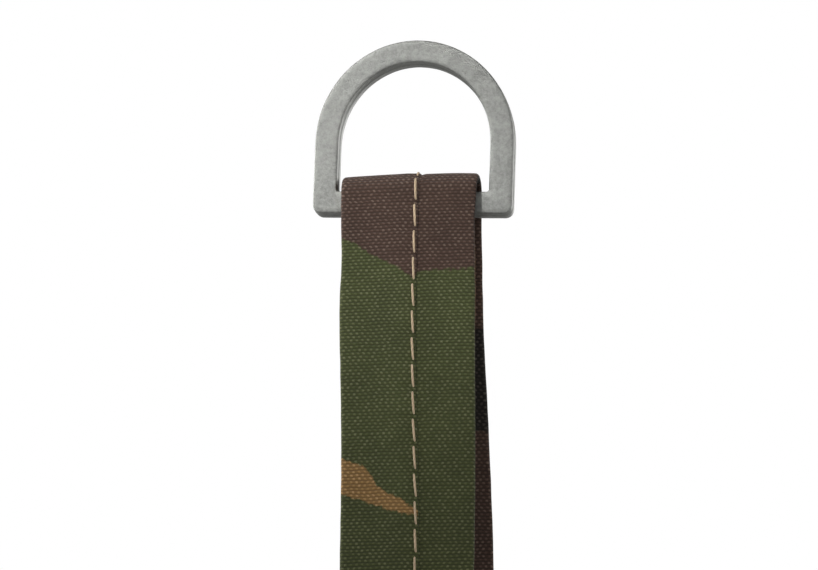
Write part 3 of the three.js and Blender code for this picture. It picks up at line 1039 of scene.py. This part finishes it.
def make_seam_flap(cover, material):
    """The lapped seam's upper layer, from one piping to the other."""
    profile = flap_profile()
    heights = np.arange(FLAP_HIGH.z / MM + 0.4, FLAP_LOW.z / MM - 0.4, -0.8)
    sheet = CanvasPoints()
    for z in heights:
        for across, height in profile:
            angle = flap_angle(across, z)
            place = on_roll(angle, cover.radius_at(angle, z) + flap_height(across, height, z), z)
            sheet.add(place, across + 3.1, z, free_print(across + 90, z, 7.5))
    faces = loop_faces(len(heights), len(profile))
    piece = sheet.build("canvas_seam_flap", faces, "roll", material, ["cover_seam_flap"])


def make_roll_thread(node, angles, radii, heights, steps, material):
    """A row of stitches on the roll's side, through places given by angle, radius and height."""
    path = [on_roll(*place) for place in zip(angles, radii, heights)]
    ups = [(math.cos(angle), math.sin(angle), 0) for angle in angles]
    make_thread("thread_" + node, stitch_runs(path, ups, steps), "roll", material, node)


def make_cover_stitches(cover, material):
    """Two rows down the lapped seam and one row round the cover near each end."""
    heights = hole_span(FLAP_LOW.z / MM + 1, FLAP_HIGH.z / MM - 1)
    for node, side in (("seam_stitching_left", 1), ("seam_stitching_right", -1)):
        across = side * SEAM_ROW_SPACING / 2
        angles = [flap_angle(across, z) for z in heights]
        radii = [cover.radius_at(angle, z) + flap_height(across, FLAP_FACE, z)
                 for angle, z in zip(angles, heights)]
        make_roll_thread(node, angles, radii, heights, heights, material)
    flap_edge = SEAM_ANGLE * BODY_RADIUS + SEAM_FLAP_WIDTH / 2
    steps = hole_span(flap_edge + 0.5, flap_edge + 2 * math.pi * BODY_RADIUS - SEAM_FLAP_WIDTH - 0.5)
    angles = steps / BODY_RADIUS
    for node, z in (("top_row_stitching", TOP_FACE - END_ROW_INSET),
                    ("bottom_row_stitching", BOTTOM_FACE + END_ROW_INSET)):
        radii = [cover.radius_at(angle, z) for angle in angles]
        make_roll_thread(node, angles, radii, np.full(len(angles), z), steps, material)


# ---------------------------------------------------------------- the filling
def make_foam(cover, material):
    """The foam roll, which swells and dips with the cover and has softened ends."""
    low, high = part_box("foam_core")
    bottom, top = low.z / MM, high.z / MM
    reach = high.x / MM
    heights = np.linspace(top - 3.0, bottom + 3.0, 90)
    around = 96
    profile = [(0.18, top), (0.6, top), (0.93, top), (0.975, top - 0.5), (0.995, top - 1.6)]
    profile += [(1.0, z) for z in heights]
    profile += [(0.995, bottom + 1.6), (0.975, bottom + 0.5), (0.93, bottom), (0.6, bottom), (0.18, bottom)]
    points = []
    for share, z in profile:
        for j in range(around):
            angle = 2 * math.pi * j / around
            follow = 0.4 * (cover.radius_at(angle, z) - BODY_RADIUS) if share == 1.0 else 0.0
            radius = (reach + min(follow, 0.2)) * share
            points.append(on_roll(angle, radius, z))
    piece = new_object("foam_roll", points, loop_faces(len(profile), around))
    finish_piece(piece, "roll", material, ["foam_core"])


def dress_inner_nodes(canvas, liner):
    """Cloth places and a plain print for the hidden backing patch, and the liner's own material."""
    patch = NODES["backing_patch"]
    places = np.array([vertex.co for vertex in patch.data.vertices])
    set_attribute(patch, "cloth", places)
    set_attribute(patch, "camo", np.full((len(places), 3), -0.01))
    for node, material, slot in ((patch, canvas, "camo_canvas"), (NODES["core_liner"], liner, "liner")):
        node.data.materials.clear()
        node.data.materials.append(material)


# ---------------------------------------------------------------- anchor patch and box of stitches
def rounded_outline(width, depth, corner, count):
    """Evenly spaced points round a rectangle with rounded corners."""
    line = []
    for cx, cy, start in ((1, -1, -90), (1, 1, 0), (-1, 1, 90), (-1, -1, 180)):
        for i in range(9):
            angle = math.radians(start + 90 * i / 8)
            line.append((cx * (width / 2 - corner) + corner * math.cos(angle),
                         cy * (depth / 2 - corner) + corner * math.sin(angle)))
    line.append(line[0])
    return resample(np.array(line), count + 1)[:-1]


def patch_height(inset):
    """The patch's upper face by distance from its edge: a soft turned edge and a groove at the stitches."""
    edge = 0.75 * math.sqrt(max(0.0, 1 - max(0.0, 1 - inset / 0.7) ** 2))
    row = 0.22 * math.exp(-((inset - PATCH_ROW_INSET) / 0.6) ** 2)
    return edge + 0.12 * math.exp(-((inset - 1.2) / 0.8) ** 2) - row


def make_patch(material, thread):
    """The canvas patch under the strap's feet, with its row of stitches."""
    low, high = PATCH_LOW / MM, PATCH_HIGH / MM
    width, depth = high.x - low.x, high.y - low.y
    around = 220
    insets = [0.0, 0.0, 0.15, 0.4, 0.8, 1.3, 1.8, 2.2, 2.6, 3.0, 3.5, 5.0, 7.0, 9.5, 12.0, 14.5, 16.5]
    sheet = CanvasPoints()
    for number, inset in enumerate(insets):
        outline = rounded_outline(width - 2 * inset, depth - 2 * inset, max(5 - inset, 0.6), around)
        level = low.z if number == 0 else low.z + PATCH_GAP + patch_height(inset)
        for x, y in outline:
            z = level + (0.05 * wander(x * 0.3, y * 0.3, 1.0) if number > 1 else 0)
            sheet.add((x, y, z), x, y, free_print(x - 30, y + 12, 71.5))
    faces = loop_faces(len(insets), around)
    piece = sheet.build("canvas_anchor_patch", faces, "roll", material, ["anchor_patch"])
    outline = rounded_outline(width - 2 * PATCH_ROW_INSET, depth - 2 * PATCH_ROW_INSET, 2.4, 400)
    level = low.z + PATCH_GAP + patch_height(PATCH_ROW_INSET)
    runs = level_runs(np.vstack([outline, outline[:1]]), level, 4.2, 0.8)
    make_thread("thread_patch_edge", runs, "roll", thread, "patch_edge_stitching")


def make_box_stitches(thread):
    """The box and cross of stitches through both strap ends, on the back foot's upper face."""
    half_x, half_y = HALF_WIDTH * 0.78, FOOT_REACH * 0.8
    foot_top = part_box("strap_back_foot")[0].z / MM + STRAP_THICKNESS / 2
    level = foot_top - BACK_LAYER * press(FOOT_S) + CANVAS / 2
    corners = [(-half_x, -half_y), (half_x, -half_y), (half_x, half_y), (-half_x, half_y)]
    runs = []
    for start, end in ((0, 1), (1, 2), (2, 3), (3, 0), (0, 2), (1, 3)):
        line = np.linspace(corners[start], corners[end], 60) + (STRAP_X, 0)
        runs += level_runs(line, level, 3.9, 0.75)
    make_thread("thread_foot_box", runs, "roll", thread, "foot_box_stitching")


# ---------------------------------------------------------------- stage, light and camera
VIEW_AZIMUTH = math.radians(8.05)
VIEW_ELEVATION = math.radians(-11.6)
VIEW_DISTANCE = 0.75
FRAME_WIDTH = 0.1535
SENSOR = 36.0
TARGET_RIGHT = -0.00107
TARGET_UP = -0.0413
SKY_ABOVE = 0.34
SKY_BELOW = 0.32
FLOOR_DROP = 1.2
FLOOR_REACH = 6
# name, place, what it points at, size, power in watts, spread in degrees
LIGHTS = (
    ("key", (-0.14, -0.30, 0.20), (0, 0, -0.028), 0.05, 0.0108, 18),
    ("right_fill", (0.8, -0.5, -0.05), (0, 0, -0.03), 0.2, 0.022, 20),
    ("left_rim", (-0.9, 0.05, 0.10), (0, 0, -0.02), 0.4, 0.9, 60),
    ("body_front", (-0.7, -1.0, -0.42), (0, 0, -0.42), 0.2, 0.4, 20),
    ("body_right", (1.2, -0.4, -0.42), (0, 0, -0.42), 0.2, 0.24, 20),
    ("back", (0.6, 1.1, 0.15), (0, 0, -0.25), 0.7, 5.0, 180),
)


def make_camera():
    """The camera stands low and a little to the right, and looks up at the ring and the top of the strap."""
    back = Vector((math.sin(VIEW_AZIMUTH) * math.cos(VIEW_ELEVATION),
                   -math.cos(VIEW_AZIMUTH) * math.cos(VIEW_ELEVATION), math.sin(VIEW_ELEVATION)))
    turn = (-back).to_track_quat("-Z", "Y")
    right, up = turn @ Vector((1, 0, 0)), turn @ Vector((0, 1, 0))
    target = right * TARGET_RIGHT + up * TARGET_UP
    camera = bpy.data.objects.new("camera", bpy.data.cameras.new("camera"))
    camera.data.sensor_width = SENSOR
    camera.data.lens = SENSOR * VIEW_DISTANCE / FRAME_WIDTH
    camera.location = target + back * VIEW_DISTANCE
    camera.rotation_mode = "QUATERNION"
    camera.rotation_quaternion = turn
    bpy.context.scene.collection.objects.link(camera)
    bpy.context.scene.camera = camera


def make_light(name, place, target, size, power, spread):
    """A square lamp that points at a target."""
    light = bpy.data.objects.new(name, bpy.data.lights.new(name, "AREA"))
    light.data.size = size
    light.data.energy = power
    light.data.spread = math.radians(spread)
    light.location = place
    light.rotation_mode = "QUATERNION"
    light.rotation_quaternion = (Vector(target) - Vector(place)).to_track_quat("-Z", "Y")
    bpy.context.scene.collection.objects.link(light)


def make_world():
    """White to the camera. Its light on the object is soft, and a little stronger from above."""
    world = bpy.data.worlds.new("studio")
    bpy.context.scene.world = world
    n = Nodes(world, "Background")
    ramp = n.new("ShaderNodeMapRange")
    height = n.split(n.new("ShaderNodeTexCoord").outputs["Generated"])["Z"]
    for name, value in (("Value", height), ("From Min", -0.7), ("From Max", 0.9),
                        ("To Min", SKY_BELOW), ("To Max", SKY_ABOVE)):
        n.feed(ramp.inputs[name], value)
    strength = n.new("ShaderNodeMix")
    seen = n.new("ShaderNodeLightPath").outputs["Is Camera Ray"]
    for socket, value in zip((0, 2, 3), (seen, ramp.outputs["Result"], 1.0)):
        n.feed(strength.inputs[socket], value)
    n.set(Color=(1, 1, 1, 1), Strength=strength.outputs[0])


def make_stage():
    """A pale floor far below the hanging bumper, and soft studio lights."""
    floor_z = cad_low.z - FLOOR_DROP
    corners = [(x * FLOOR_REACH, y * FLOOR_REACH, floor_z) for x, y in ((-1, -1), (1, -1), (1, 1), (-1, 1))]
    floor = new_object("floor", np.array(corners) / MM, [(0, 1, 2, 3)], smooth=False)
    n = Nodes(bpy.data.materials.new("pale_floor"))
    n.set(Base_Color=(0.82, 0.82, 0.82, 1.0), Roughness=0.9,
          Emission_Color=(1.0, 1.0, 1.0, 1.0), Emission_Strength=0.62)
    floor.data.materials.append(n.owner)
    floor.visible_diffuse = False
    floor.visible_glossy = False
    for light in LIGHTS:
        make_light(*light)
    bpy.context.scene.view_settings.view_transform = "Standard"


make_world()
make_camera()
make_stage()
canvas = canvas_material()
thread = thread_material()
make_ring(zinc_material())
strap, strap_rows, strap_tangent = make_strap(canvas)
seam_runs = strap_seam_runs(strap_rows, strap_tangent)
seam_thread = make_thread("strap_seam_thread", seam_runs, None, thread, "strap_seam_stitching")

fields = simulate_cover()
cover = Cover(fields[0])
make_side_cover(cover, canvas)
make_end_panel("canvas_top_panel", fields[1], True, canvas, "top_end_panel")
make_end_panel("canvas_bottom_panel", fields[2], False, canvas, "bottom_end_panel")
make_piping("canvas_top_piping", True, canvas, "top_piping")
make_piping("canvas_bottom_piping", False, canvas, "bottom_piping")
make_seam_flap(cover, canvas)
make_cover_stitches(cover, thread)
make_patch(canvas, thread)
make_box_stitches(thread)
make_foam(cover, foam_material())
dress_inner_nodes(canvas, liner_material())

for piece in (strap, seam_thread):
    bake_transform(piece)
